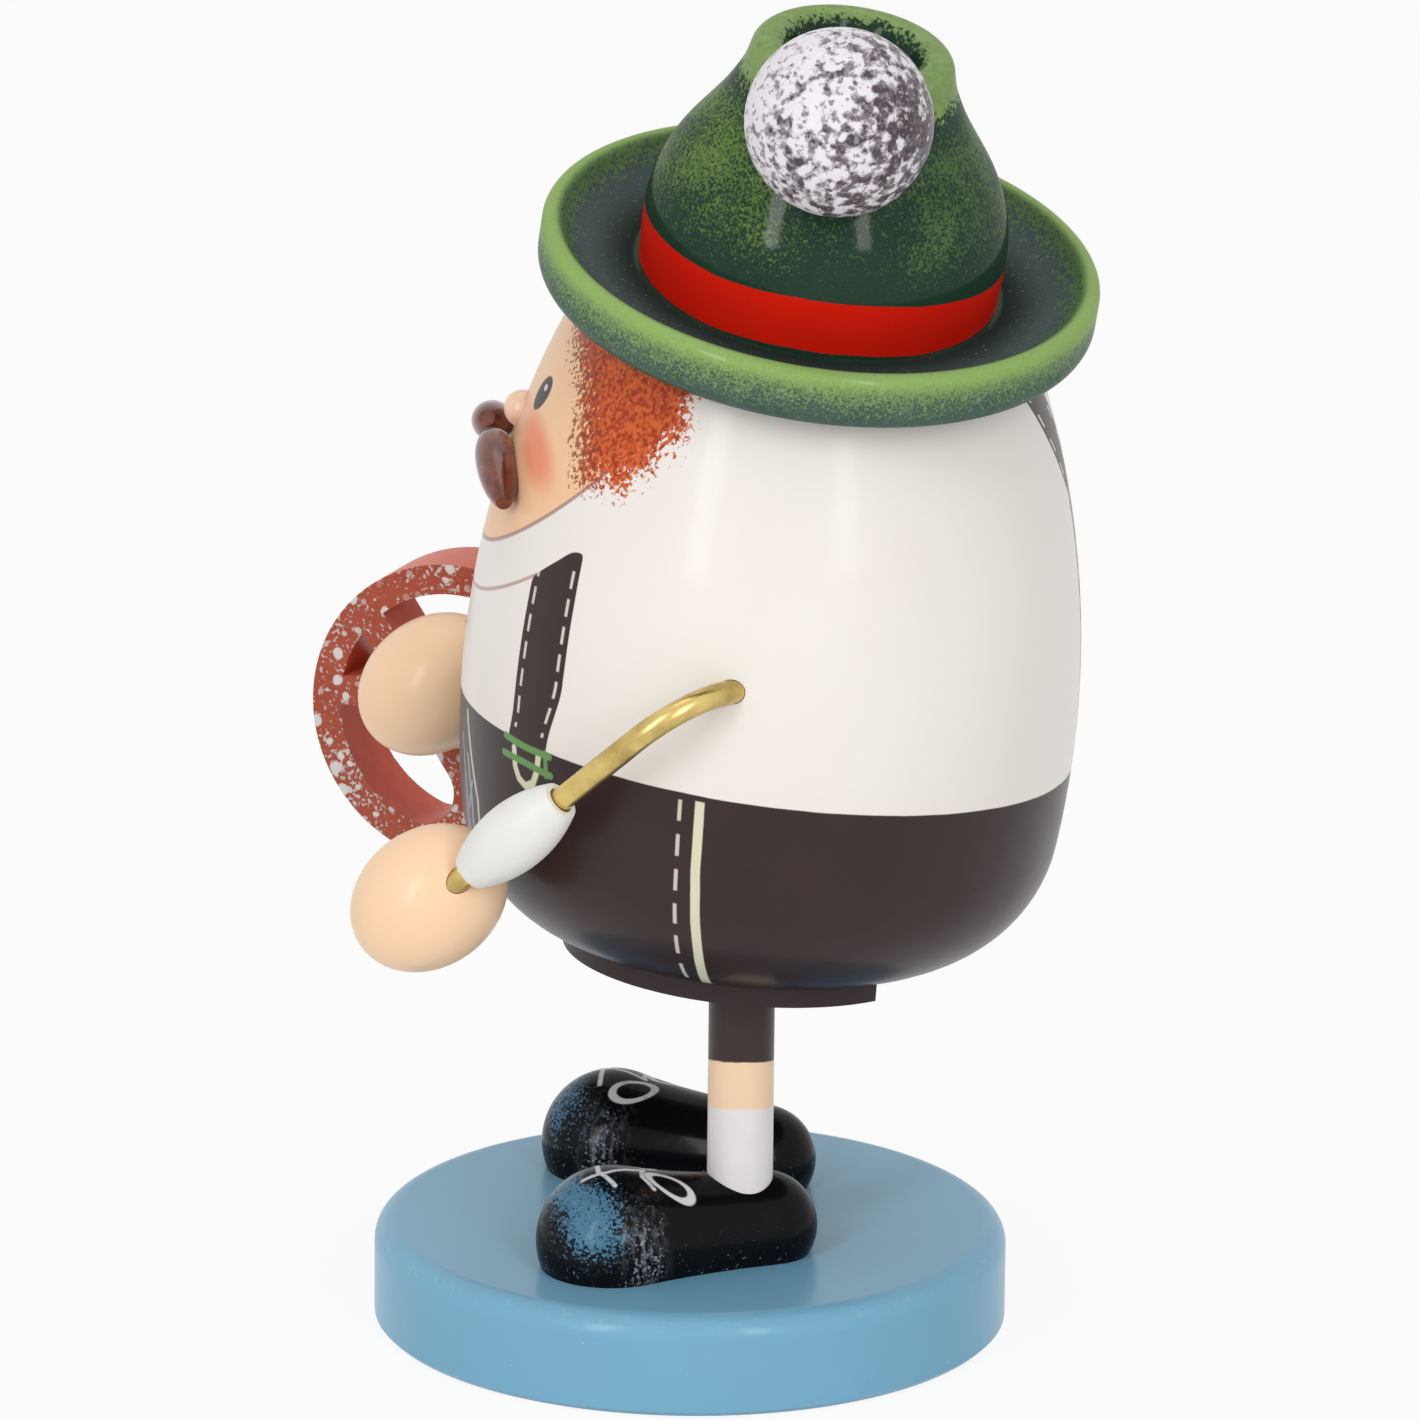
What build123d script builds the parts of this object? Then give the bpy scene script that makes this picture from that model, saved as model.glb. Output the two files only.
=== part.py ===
from build123d import *
import os
from math import asin, cos, degrees, radians, sin, sqrt

# Incense smoker: a turned wooden figure whose hollow body lifts off a stand.
# Millimetres, +Z up. The figure faces -Y and its left side is +X.
# The origin is the centre of the base's underside.

# Fits
GLUE_GAP = 0.05
SLIDE_GAP = 0.08
SEAT_GAP = 0.05

# Base
BASE_RADIUS = 32.5
BASE_HEIGHT = 10.3
BASE_EDGE = 2.4
BASE_FOOT_EDGE = 0.5

# Legs
LEG_RADIUS = 3.35
LEG_X = 11.4
LEG_Y = 5.0
LEG_IN_BASE = 6.0
LEG_IN_SPIGOT = 3.5

# Shoes, turned about an axis that lies along the foot
TOE_RADIUS = 7.6
HEEL_RADIUS = 5.6
SHOE_WAIST_ARC = 60.0
SHOE_SPAN = 16.3
SHOE_SPLAY = 19.3
SHOE_AXIS_HEIGHT = 2.8
HEEL_FROM_LEG = 2.5

# Seat plate and spigot, leaning back with the body
BODY_LEAN = 4.0
SEAT_Y = 5.6
SEAT_Z = 38.95
PLATE_RADIUS = 19.0
PLATE_THICKNESS = 2.0
AIR_FLAT = 12.9
SPIGOT_RADIUS = 17.0
SPIGOT_HEIGHT = 6.0
SPIGOT_CHAMFER = 0.8

# Dish for the incense cone
DISH_RADIUS = 9.0
DISH_FLOOR_RADIUS = 7.4
DISH_DEPTH = 2.2
DISH_SHEET = 0.4
NAIL_HEAD_RADIUS = 1.9
NAIL_HEAD_HEIGHT = 0.8
NAIL_SHANK_RADIUS = 0.75
NAIL_LENGTH = 5.0

# Body: a foot flat, then three arcs that run into each other. The bottom arc is BOTTOM_ARC_RATIO times
# the step from foot to girth.
FOOT_RADIUS = 19.4
FOOT_FLARE = 15.0
BOTTOM_ARC_RATIO = 1.26
SIDE_ARC = 95.0
BODY_RADIUS = 31.3
SHOULDER_HEIGHT = 61.0
CHAMBER_HEIGHT = 56.0
CHAMBER_ROUND = 12.0
MOUTH_RADIUS = 2.9
MOUTH_Z = 89.5

# Face. Points are a turn from the front to the left, a distance off the body and a height over its foot.
NOSE_RADIUS = 1.9
NOSE_RISE = 53.0
NOSE_SEAT = 2.0
MOUSTACHE_LENGTH = 12.6
MOUSTACHE_RADIUS = 2.1
MOUSTACHE_TIP = 0.8
LEFT_MOUSTACHE = ((1.1, 2.0, 50.3), (22.6, 1.75, 46.5))
RIGHT_MOUSTACHE = ((-1.1, 3.0, 51.6), (-22.1, 2.75, 48.0))

# Hat, measured from the top of its brim along its own axis
HAT_LEAN_BACK = 7.6
HAT_LEAN_LEFT = 13.5
HAT_RISE = 22.9
BRIM_RADIUS = 28.1
BRIM_DEPTH = 6.3
BRIM_FOOT_ROUND = 2.5
BRIM_RIM = 2.2
DISH_BOTTOM = 3.2
CROWN_RADIUS = 18.1
CROWN_HEIGHT = 22.4
NECK_RADIUS = 10.2
CROWN_HOLLOW = 4.2
HAT_DOWEL_RADIUS = 3.0
HAT_DOWEL_LENGTH = 14.0
TUFT_RADIUS = 9.2
TUFT_OUT = 19.6
TUFT_UP = 23.1
TUFT_TURN = -5.4
TUFT_DOWEL_RADIUS = 1.5
TUFT_DOWEL_LENGTH = 12.0
TUFT_DOWEL_DROP = 33.0

# Arms, with points as on the face
WIRE_RADIUS = 1.2
WIRE_BEND = 7.0
WIRE_IN_BODY = 8.0
SHOULDER = (81.5, 0.0, 33.7)
LEFT_ELBOW = (75.8, 7.25, 33.9)
RIGHT_ELBOW = (-63.0, 8.6, 42.5)
LEFT_WIRE_END = (38.3, 12.3, 7.9)
RIGHT_WIRE_END = (-30.6, 5.6, 22.3)
CUFF_LENGTH = 13.0
CUFF_RADIUS = 3.5
CUFF_END_RADIUS = 2.0
CUFF_BORE = 1.4
LEFT_CUFF_UP = 13.0
RIGHT_CUFF_UP = 16.5

# Hands, egg-shaped along the arm
HAND_LENGTH = 16.8
HAND_RADIUS = 6.9
LEFT_HAND = (34.0, 9.85, 7.65)
RIGHT_HAND = (-31.9, 9.35, 17.55)
HAND_RISE = 38.0

# Pretzel, cut from board, on the outer side of the right hand
PRETZEL_THICKNESS = 8.0
PRETZEL_ROPE = 3.15
PRETZEL_BELLY_ARC = 14.6
PRETZEL_BELLY_TURN = 91.6
PRETZEL_LOBE_ARC = 5.25
PRETZEL_LOBE_TURN = 147.5
PRETZEL_ARM = 19.4
PRETZEL_TURN = 22.0
PRETZEL_ROLL = 24.8
PRETZEL_SHIFT = (0.7, -5.25)
PRETZEL_SEAT = 6.9


def leaning_plane(origin, lean_back, lean_left=0.0):
    """Plane whose normal leans back and to the figure's left, with its x axis towards the left side."""
    up = Vector(sin(radians(lean_left)),
                cos(radians(lean_left)) * sin(radians(lean_back)),
                cos(radians(lean_left)) * cos(radians(lean_back)))
    across = Vector(0, 1, 0).cross(up)
    return Plane(origin=origin, x_dir=across, z_dir=up)


def turned(*outline):
    """Solid turned about Z from the edges of a closed outline of radius and height."""
    return revolve(Plane.XZ * make_face(outline), Axis.Z)


def peg(start, direction, radius, length):
    """Round peg or drill from a point along a direction."""
    return extrude(Plane(origin=start, z_dir=direction) * Circle(radius), length)


def plate_frame():
    return leaning_plane((0, SEAT_Y, SEAT_Z), BODY_LEAN)


def body_frame():
    return leaning_plane(plate_frame().from_local_coords(Vector(0, 0, PLATE_THICKNESS + SEAT_GAP)), BODY_LEAN)


def bottom_arc():
    return BOTTOM_ARC_RATIO * (BODY_RADIUS - FOOT_RADIUS)


def body_turns():
    """Angles of the outline where the bottom arc meets the side and the side meets the dome, in degrees."""
    side_start = asin((FOOT_RADIUS - bottom_arc() * sin(radians(FOOT_FLARE)) + SIDE_ARC - BODY_RADIUS)
                      / (SIDE_ARC - bottom_arc()))
    girth_height = bottom_arc() * (cos(radians(FOOT_FLARE)) - cos(side_start)) + SIDE_ARC * cos(side_start)
    dome_start = 90 + degrees(asin((SHOULDER_HEIGHT - girth_height) / SIDE_ARC))
    return degrees(side_start), dome_start


def dome():
    """Height of the dome's centre over the foot, and its radius."""
    dome_start = radians(body_turns()[1])
    shoulder_radius = BODY_RADIUS - SIDE_ARC * (1 - sin(dome_start))
    radius = shoulder_radius / sin(dome_start)
    return SHOULDER_HEIGHT + radius * cos(dome_start), radius


def egg(grow=0.0):
    """The body's full outer form, larger all round by a growth."""
    side_start, dome_start = body_turns()
    flare = radians(FOOT_FLARE)
    foot = (FOOT_RADIUS + grow * sin(flare), -grow * cos(flare))
    floor = Line((0, foot[1]), foot)
    bottom = JernArc(foot, (cos(flare), sin(flare)), bottom_arc() + grow, side_start - FOOT_FLARE)
    side = JernArc(bottom @ 1, bottom % 1, SIDE_ARC + grow, dome_start - side_start)
    crown = JernArc(side @ 1, side % 1, dome()[1] + grow, 180 - dome_start)
    axis = Line(crown @ 1, (0, foot[1]))
    return turned(floor, bottom, side, crown, axis)


def hat_frame():
    centre = body_frame().from_local_coords(Vector(0, 0, dome()[0]))
    tilt = leaning_plane(centre, HAT_LEAN_BACK, HAT_LEAN_LEFT)
    return leaning_plane(tilt.from_local_coords(Vector(0, 0, HAT_RISE)), HAT_LEAN_BACK, HAT_LEAN_LEFT)


def beside_body(turn, off, rise):
    """Point at a turn from front to left, a distance off the body's side and a height over its foot."""
    _, dome_start = body_turns()
    girth = SHOULDER_HEIGHT + SIDE_ARC * cos(radians(dome_start))
    radius = BODY_RADIUS - SIDE_ARC + sqrt(SIDE_ARC ** 2 - (rise - girth) ** 2) + off
    spot = Vector(radius * sin(radians(turn)), -radius * cos(radians(turn)), rise)
    return body_frame().from_local_coords(spot)


def arm_points(side):
    """Inner end, elbow and hand end of an arm's wire. Side is 1 for left, -1 for right."""
    turn, off, rise = SHOULDER
    shoulder = beside_body(side * turn, off, rise)
    elbow = beside_body(*(LEFT_ELBOW if side > 0 else RIGHT_ELBOW))
    end = beside_body(*(LEFT_WIRE_END if side > 0 else RIGHT_WIRE_END))
    inner = shoulder + (shoulder - elbow).normalized() * WIRE_IN_BODY
    return inner, elbow, end


def make_base():
    disc = extrude(Circle(BASE_RADIUS), BASE_HEIGHT)
    disc = fillet(disc.faces().sort_by(Axis.Z)[-1].edges(), BASE_EDGE)
    disc = chamfer(disc.faces().sort_by(Axis.Z)[0].edges(), BASE_FOOT_EDGE)
    for side in (1, -1):
        disc -= peg((side * LEG_X, LEG_Y, BASE_HEIGHT), (0, 0, -1), LEG_RADIUS + GLUE_GAP, LEG_IN_BASE)
    return disc


def leg_top():
    """Height where the legs end inside the spigot."""
    return SEAT_Z + PLATE_THICKNESS + LEG_IN_SPIGOT


def make_leg(side):
    start = BASE_HEIGHT - LEG_IN_BASE + GLUE_GAP
    return peg((side * LEG_X, LEG_Y, start), (0, 0, 1), LEG_RADIUS, leg_top() - GLUE_GAP - start)


def leg_bore(side):
    return peg((side * LEG_X, LEG_Y, 0), (0, 0, 1), LEG_RADIUS + GLUE_GAP, leg_top())


def make_shoe(side):
    """Skittle form: a toe ball and a heel ball joined by a hollow waist, with the sole cut flat."""
    reach = SHOE_SPAN
    toe_gap = TOE_RADIUS + SHOE_WAIST_ARC
    heel_gap = HEEL_RADIUS + SHOE_WAIST_ARC
    waist_x = (reach ** 2 + heel_gap ** 2 - toe_gap ** 2) / (2 * reach)
    waist_y = sqrt(heel_gap ** 2 - waist_x ** 2)
    waist = Vector(waist_x, waist_y)
    toe = Vector(reach, 0)
    heel_touch = waist * (HEEL_RADIUS / heel_gap)
    toe_touch = toe + (waist - toe) * (TOE_RADIUS / toe_gap)
    slant = sin(radians(45))
    back = ThreePointArc((-HEEL_RADIUS, 0), (-slant * HEEL_RADIUS, slant * HEEL_RADIUS), heel_touch)
    hollow = waist + ((heel_touch + toe_touch) / 2 - waist).normalized() * SHOE_WAIST_ARC
    middle = ThreePointArc(heel_touch, hollow, toe_touch)
    front = ThreePointArc(toe_touch, toe + Vector(slant, slant) * TOE_RADIUS, toe + Vector(TOE_RADIUS, 0))
    line = Line(front @ 1, back @ 0)
    form = revolve(make_face([back, middle, front, line]), Axis.X)
    depth = TOE_RADIUS + HEEL_RADIUS
    length = 2 * (SHOE_SPAN + depth)
    form -= Pos(0, 0, -SHOE_AXIS_HEIGHT - depth) * Box(length, 2 * depth, 2 * depth)
    heading = -90 + side * SHOE_SPLAY
    forward = Vector(cos(radians(heading)), sin(radians(heading)))
    heel = Vector(side * LEG_X, LEG_Y) - forward * HEEL_FROM_LEG
    placed = Pos(heel.X, heel.Y, BASE_HEIGHT + SHOE_AXIS_HEIGHT) * Rot(0, 0, heading) * form
    return placed - leg_bore(side)


def air_cut():
    """Block that takes the straight slice off the back of the seat, which lets air in under the body."""
    size = 4 * PLATE_RADIUS
    return plate_frame().location * Pos(0, AIR_FLAT + size / 2, 0) * Box(size, size, size)


def make_seat_plate():
    plate = plate_frame().location * extrude(Circle(PLATE_RADIUS), PLATE_THICKNESS)
    plate -= air_cut()
    for side in (1, -1):
        plate -= leg_bore(side)
    return plate


def make_spigot():
    plug = Pos(0, 0, PLATE_THICKNESS) * extrude(Circle(SPIGOT_RADIUS), SPIGOT_HEIGHT)
    plug = chamfer(plug.faces().sort_by(Axis.Z)[-1].edges(), SPIGOT_CHAMFER)
    nail_depth = NAIL_LENGTH + GLUE_GAP
    top = PLATE_THICKNESS + SPIGOT_HEIGHT
    plug -= peg((0, 0, top), (0, 0, -1), NAIL_SHANK_RADIUS + GLUE_GAP, nail_depth)
    plug = plate_frame().location * plug
    plug -= air_cut()
    for side in (1, -1):
        plug -= leg_bore(side)
    return plug


def dish_frame():
    return plate_frame().location * Pos(0, 0, PLATE_THICKNESS + SPIGOT_HEIGHT)


def make_cone_dish():
    """Pressed dish with a flat floor and a flared wall of even thickness."""
    wall = Polyline((NAIL_SHANK_RADIUS + GLUE_GAP, 0), (DISH_FLOOR_RADIUS, 0), (DISH_RADIUS, DISH_DEPTH),
                    (DISH_RADIUS - DISH_SHEET, DISH_DEPTH), (DISH_FLOOR_RADIUS - DISH_SHEET, DISH_SHEET),
                    (NAIL_SHANK_RADIUS + GLUE_GAP, DISH_SHEET), close=True)
    return dish_frame() * turned(*wall.edges())


def make_dish_nail():
    shank = peg((0, 0, DISH_SHEET), (0, 0, -1), NAIL_SHANK_RADIUS, NAIL_LENGTH)
    head_round = (NAIL_HEAD_RADIUS ** 2 + NAIL_HEAD_HEIGHT ** 2) / (2 * NAIL_HEAD_HEIGHT)
    head = Pos(0, 0, DISH_SHEET + NAIL_HEAD_HEIGHT - head_round) * Sphere(head_round)
    below = 2 * head_round
    head -= Pos(0, 0, DISH_SHEET - below) * Box(2 * below, 2 * below, 2 * below)
    return dish_frame() * (shank + head)


def nose_place():
    """Point on the middle of the face at the nose's height, and the way into the body."""
    return beside_body(0, 0, NOSE_RISE), body_frame().y_dir


def make_body_shell():
    """Hollow egg with a smoke chamber, a mouth, a slanted seat for the hat and drilled arm holes."""
    frame = body_frame()
    shell = frame.location * egg()
    hat = hat_frame()
    size = 4 * BODY_RADIUS
    shell -= hat.location * Pos(0, 0, -BRIM_DEPTH + size / 2) * Box(size, size, size)
    chamber = extrude(Circle(SPIGOT_RADIUS + SLIDE_GAP), CHAMBER_HEIGHT)
    chamber = fillet(chamber.faces().sort_by(Axis.Z)[-1].edges(), CHAMBER_ROUND)
    shell -= frame.location * chamber
    mouth_start = (0, frame.origin.Y - 2 * BODY_RADIUS, MOUTH_Z)
    shell -= peg(mouth_start, (0, 1, 0), MOUTH_RADIUS, 2 * BODY_RADIUS)
    for side in (1, -1):
        inner, elbow, _ = arm_points(side)
        drill = inner + (inner - elbow).normalized() * GLUE_GAP
        shell -= peg(drill, elbow - inner, WIRE_RADIUS + GLUE_GAP, (elbow - inner).length)
    surface, inward = nose_place()
    shell -= peg(surface - inward * NOSE_SEAT, inward, NOSE_RADIUS + GLUE_GAP, 2 * NOSE_SEAT + GLUE_GAP)
    shell -= hat_dowel(GLUE_GAP)
    return shell


def hat_dowel(grow=0.0):
    length = HAT_DOWEL_LENGTH + 2 * grow
    start = hat_frame().location * Pos(0, 0, -BRIM_DEPTH - length / 2)
    return start * extrude(Circle(HAT_DOWEL_RADIUS + grow), length)


def make_nose():
    surface, inward = nose_place()
    return Pos(*(surface + inward * (NOSE_SEAT - NOSE_RADIUS))) * Sphere(NOSE_RADIUS)


def make_moustache(side):
    """Turned spindle, fullest in its middle, bedded on the curve of the face."""
    start, end = [beside_body(*point) for point in (LEFT_MOUSTACHE if side > 0 else RIGHT_MOUSTACHE)]
    base = Line((0, 0), (MOUSTACHE_TIP, 0))
    waist = (MOUSTACHE_RADIUS, 0.5 * MOUSTACHE_LENGTH)
    flank = Spline((MOUSTACHE_TIP, 0), waist, (MOUSTACHE_TIP, MOUSTACHE_LENGTH),
                   tangents=[(0.8, 1), (-0.45, 1)])
    top = Line((MOUSTACHE_TIP, MOUSTACHE_LENGTH), (0, MOUSTACHE_LENGTH))
    axis = Line((0, MOUSTACHE_LENGTH), (0, 0))
    spindle = turned(base, flank, top, axis)
    placed = Plane(origin=start, z_dir=end - start).location * spindle
    return placed - body_frame().location * egg(GLUE_GAP)


def hat_outline():
    """Half outline of the hat: flat foot, rounded brim, dish, bell-shaped crown and hollow top."""
    foot = Line((0, -BRIM_DEPTH), (BRIM_RADIUS - BRIM_FOOT_ROUND, -BRIM_DEPTH))
    turn_in = JernArc(foot @ 1, (1, 0), BRIM_FOOT_ROUND, 90)
    rim_low = (BRIM_RADIUS, -BRIM_RIM / 2)
    wall = Line(turn_in @ 1, rim_low)
    rim = JernArc(rim_low, (0, 1), BRIM_RIM / 2, 150)
    crown_foot = (CROWN_RADIUS, -DISH_BOTTOM)
    dish_floor = (CROWN_RADIUS + 0.24 * (BRIM_RADIUS - CROWN_RADIUS), -1.03 * DISH_BOTTOM)
    dish = Spline(rim @ 1, dish_floor, crown_foot, tangents=[rim % 1, (-1, 0.15)])
    bell = Spline(crown_foot, (CROWN_RADIUS, 0.18 * CROWN_HEIGHT), (0.89 * CROWN_RADIUS, 0.43 * CROWN_HEIGHT),
                  (0.68 * CROWN_RADIUS, 0.69 * CROWN_HEIGHT), (1.075 * NECK_RADIUS, 0.81 * CROWN_HEIGHT),
                  (NECK_RADIUS, 0.93 * CROWN_HEIGHT), tangents=[(0, 1), (-0.2, 1)])
    lip = JernArc(bell @ 1, bell % 1, 0.085 * CROWN_HEIGHT, 140)
    bowl = (0.45 * NECK_RADIUS, CROWN_HEIGHT - 0.9 * CROWN_HOLLOW)
    hollow = Spline(lip @ 1, bowl, (0, CROWN_HEIGHT - CROWN_HOLLOW), tangents=[lip % 1, (-1, 0)])
    axis = Line(hollow @ 1, foot @ 0)
    return foot, turn_in, wall, rim, dish, bell, lip, hollow, axis


def tuft_place():
    """Centre of the ball and the direction of its peg into the crown, in the hat's own frame."""
    drop = radians(TUFT_DOWEL_DROP)
    centre = Vector(TUFT_OUT, 0, TUFT_UP).rotate(Axis.Z, TUFT_TURN)
    return centre, Vector(-cos(drop), 0, -sin(drop)).rotate(Axis.Z, TUFT_TURN)


def tuft_dowel(grow=0.0):
    centre, inward = tuft_place()
    middle = centre + inward * TUFT_RADIUS
    start = middle - inward * (TUFT_DOWEL_LENGTH / 2 + grow)
    length = TUFT_DOWEL_LENGTH + 2 * grow
    return hat_frame().location * peg(start, inward, TUFT_DOWEL_RADIUS + grow, length)


def make_hat():
    hat = hat_frame().location * turned(*hat_outline())
    return hat - hat_dowel(GLUE_GAP) - tuft_dowel(GLUE_GAP)


def make_tuft_ball():
    centre, _ = tuft_place()
    return hat_frame().location * Pos(*centre) * Sphere(TUFT_RADIUS) - tuft_dowel(GLUE_GAP)


def arm_wire(side, radius):
    path = FilletPolyline(*arm_points(side), radius=WIRE_BEND)
    return sweep(Plane(origin=path @ 0, z_dir=path % 0) * Circle(radius), path=path)


def make_cuff(side):
    """Barrel bead threaded on the straight run of the wire."""
    _, elbow, end = arm_points(side)
    up = (elbow - end).normalized()
    along = LEFT_CUFF_UP if side > 0 else RIGHT_CUFF_UP
    start = end + up * (along - CUFF_LENGTH / 2)
    middle = (CUFF_RADIUS, CUFF_LENGTH / 2)
    flank = ThreePointArc((CUFF_END_RADIUS, 0), middle, (CUFF_END_RADIUS, CUFF_LENGTH))
    top = Line(flank @ 1, (CUFF_BORE, CUFF_LENGTH))
    bore = Line(top @ 1, (CUFF_BORE, 0))
    foot = Line(bore @ 1, flank @ 0)
    return Plane(origin=start, z_dir=up).location * turned(flank, top, bore, foot)


def make_hand(side):
    """Egg-shaped hand, long along the arm, drilled for the wire."""
    centre = beside_body(*(LEFT_HAND if side > 0 else RIGHT_HAND))
    outward = (0, -cos(radians(HAND_RISE)), -sin(radians(HAND_RISE)))
    below = (0, sin(radians(HAND_RISE)), -cos(radians(HAND_RISE)))
    form = scale(Sphere(HAND_RADIUS), by=(HAND_LENGTH / 2 / HAND_RADIUS, 1, 1))
    hand = Plane(origin=centre, x_dir=outward, z_dir=below).location * form
    _, elbow, end = arm_points(side)
    drill = end - (elbow - end).normalized() * GLUE_GAP
    return hand - peg(drill, elbow - end, WIRE_RADIUS + GLUE_GAP, HAND_LENGTH)


def pretzel_frame():
    """Plane of the pretzel's inner face: it touches the right hand and turns a little to the front."""
    turn = radians(PRETZEL_TURN)
    facing = Vector(cos(turn), -sin(turn), 0)
    forward = Vector(-sin(turn), -cos(turn), 0)
    return Plane(origin=beside_body(*RIGHT_HAND) - facing * PRETZEL_SEAT, x_dir=forward, z_dir=-facing)


def make_pretzel():
    """One rope of even width: belly arc, lobe arc and crossing arm, mirrored about the pretzel's middle."""
    belly = JernArc((PRETZEL_BELLY_ARC, 0), (0, 1), PRETZEL_BELLY_ARC, PRETZEL_BELLY_TURN)
    lobe = JernArc(belly @ 1, belly % 1, PRETZEL_LOBE_ARC, PRETZEL_LOBE_TURN)
    arm = Line(lobe @ 1, lobe @ 1 + lobe % 1 * PRETZEL_ARM)
    half = trace([belly, lobe, arm], line_width=PRETZEL_ROPE)
    outline = half + mirror(half, about=Plane.XZ)
    board = extrude(outline, PRETZEL_THICKNESS)
    place = pretzel_frame().location * Pos(*PRETZEL_SHIFT) * Rot(0, 0, PRETZEL_ROLL)
    return place * board


NODES = {
    "base_disc": make_base(),
    "seat_plate": make_seat_plate(),
    "spigot": make_spigot(),
    "cone_dish": make_cone_dish(),
    "dish_nail": make_dish_nail(),
    "body_shell": make_body_shell(),
    "hat": make_hat(),
    "hat_dowel": hat_dowel(),
    "tuft_ball": make_tuft_ball(),
    "tuft_dowel": tuft_dowel(),
    "nose": make_nose(),
    "pretzel": make_pretzel(),
}
for name, side in (("left", 1), ("right", -1)):
    NODES["leg_" + name] = make_leg(side)
    NODES["shoe_" + name] = make_shoe(side)
    NODES["moustache_" + name] = make_moustache(side)
    NODES["arm_wire_" + name] = arm_wire(side, WIRE_RADIUS)
    NODES["cuff_" + name] = make_cuff(side)
    NODES["hand_" + name] = make_hand(side)

os.makedirs("parts", exist_ok=True)
for name, solid in NODES.items():
    export_step(solid, "parts/" + name + ".step")
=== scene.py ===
import math

import bpy
from mathutils import Matrix, Vector


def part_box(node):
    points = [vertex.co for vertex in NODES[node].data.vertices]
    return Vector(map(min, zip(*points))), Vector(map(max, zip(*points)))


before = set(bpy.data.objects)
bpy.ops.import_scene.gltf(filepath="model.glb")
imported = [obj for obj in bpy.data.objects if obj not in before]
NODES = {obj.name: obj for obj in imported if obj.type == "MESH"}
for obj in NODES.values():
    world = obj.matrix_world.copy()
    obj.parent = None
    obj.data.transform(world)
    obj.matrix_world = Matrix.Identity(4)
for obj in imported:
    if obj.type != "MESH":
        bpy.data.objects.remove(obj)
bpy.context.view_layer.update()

# Painted egg: it leans back on the stand and is measured from its seat. Millimetres and degrees.
BODY_LEAN = 4.0
SEAT_Y = 5.6
SEAT_Z = 38.95
MOUTH_Z = 89.5
MOUTH_RADIUS = 3.0
EYE_TURN, EYE_UP = 15.1, 58.5
CHEEK_TURN, CHEEK_UP = 21.7, 53.6
EAR_TURN = 61.5
JAW_UP, JAW_CURVE = 42.1, 0.0053
COLLAR_UP, COLLAR_CURVE, COLLAR_END = 37.2, 0.0043, 35.5
WAIST_UP, WAIST_SLOPE = 24.5, 0.0545
SEAM_TURN = 77.6
STITCH_ROW_TURN = 73.9
STRAP_LEFT, STRAP_RIGHT, STRAP_TOP = 18.3, 25.1, 46.2
STRAP_SCALE = 0.53
HAIR_SCALE = 0.48

# Hat: middle of its brim's top, its axis, the side that carries the tuft, and the reach of its forms.
HAT_CENTRE = (5.35, 12.26, 114.14)
HAT_AXIS = (0.2334, 0.1286, 0.9638)
HAT_SIDE = (0.972, 0.0, -0.235)
CROWN_OUT = 18.6
RIM_OUT = 26.6
BRIM_FLOOR = -3.2
BAND_LOW, BAND_HIGH = -2.7, 2.9
TUFT_RADIUS = 9.2

# Shoes: heel ball, heading and the height of the shoe's axis.
LEG_X = 11.4
LEG_Y = 5.0
HEEL_BEHIND_LEG = 2.5
SHOE_SPLAY = 19.3
SHOE_AXIS_Z = 13.1

# Legs: where the sock and the bare knee end.
SOCK_TOP = 25.6
KNEE_TOP = 30.6

# Pretzel: a point of its inner face and the turn of that face.
PRETZEL_FACE = (-27.7, -24.57, 60.9)
PRETZEL_TURN = 22.0
PRETZEL_THICKNESS = 8.0

# Camera.
EYE = Vector((0.96219, 0.00149, 0.33678))
VIEW_DROP = 15.805
VIEW_ROLL = 0.579
LENS_MM = 249.87
SENSOR_MM = 36.0

# Floor and light, in metres and watts.
FLOOR_HALF = 4.0
FLOOR_DROP = 0.0002
FLOOR_GREY = 0.86
FLOOR_GLOW = 0.9
WORLD_STRENGTH = 0.54
LAMP_AIM = (0.0, 0.0, 0.065)
LAMPS = (
    # name, place, width, height, watts
    ("key", (0.78, -0.5, 0.5), 0.16, 0.6, 2.8),
    ("fill", (0.86, 0.4, 0.5), 0.16, 0.6, 2.4),
    ("top", (-0.2, 0.0, 0.95), 0.6, 0.6, 1.2),
)


def rgb(red, green, blue):
    """Screen colour, 0 to 255, as a linear colour."""
    channels = []
    for value in (red, green, blue):
        part = value / 255
        channels.append(part / 12.92 if part <= 0.04045 else ((part + 0.055) / 1.055) ** 2.4)
    return (*channels, 1.0)


CREAM = rgb(222, 219, 190)
STITCH = rgb(214, 208, 198)


class Field:
    """A value that varies over a surface, with arithmetic that adds shader nodes."""

    def __init__(self, paint, socket):
        self.paint = paint
        self.socket = socket

    def __add__(self, other):
        return self.paint.math("ADD", self, other)

    def __sub__(self, other):
        return self.paint.math("SUBTRACT", self, other)

    def __rsub__(self, other):
        return self.paint.math("SUBTRACT", other, self)

    def __mul__(self, other):
        return self.paint.math("MULTIPLY", self, other)

    def __truediv__(self, other):
        return self.paint.math("DIVIDE", self, other)

    def __neg__(self):
        return self.paint.math("MULTIPLY", self, -1.0)

    __radd__ = __add__
    __rmul__ = __mul__


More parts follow.
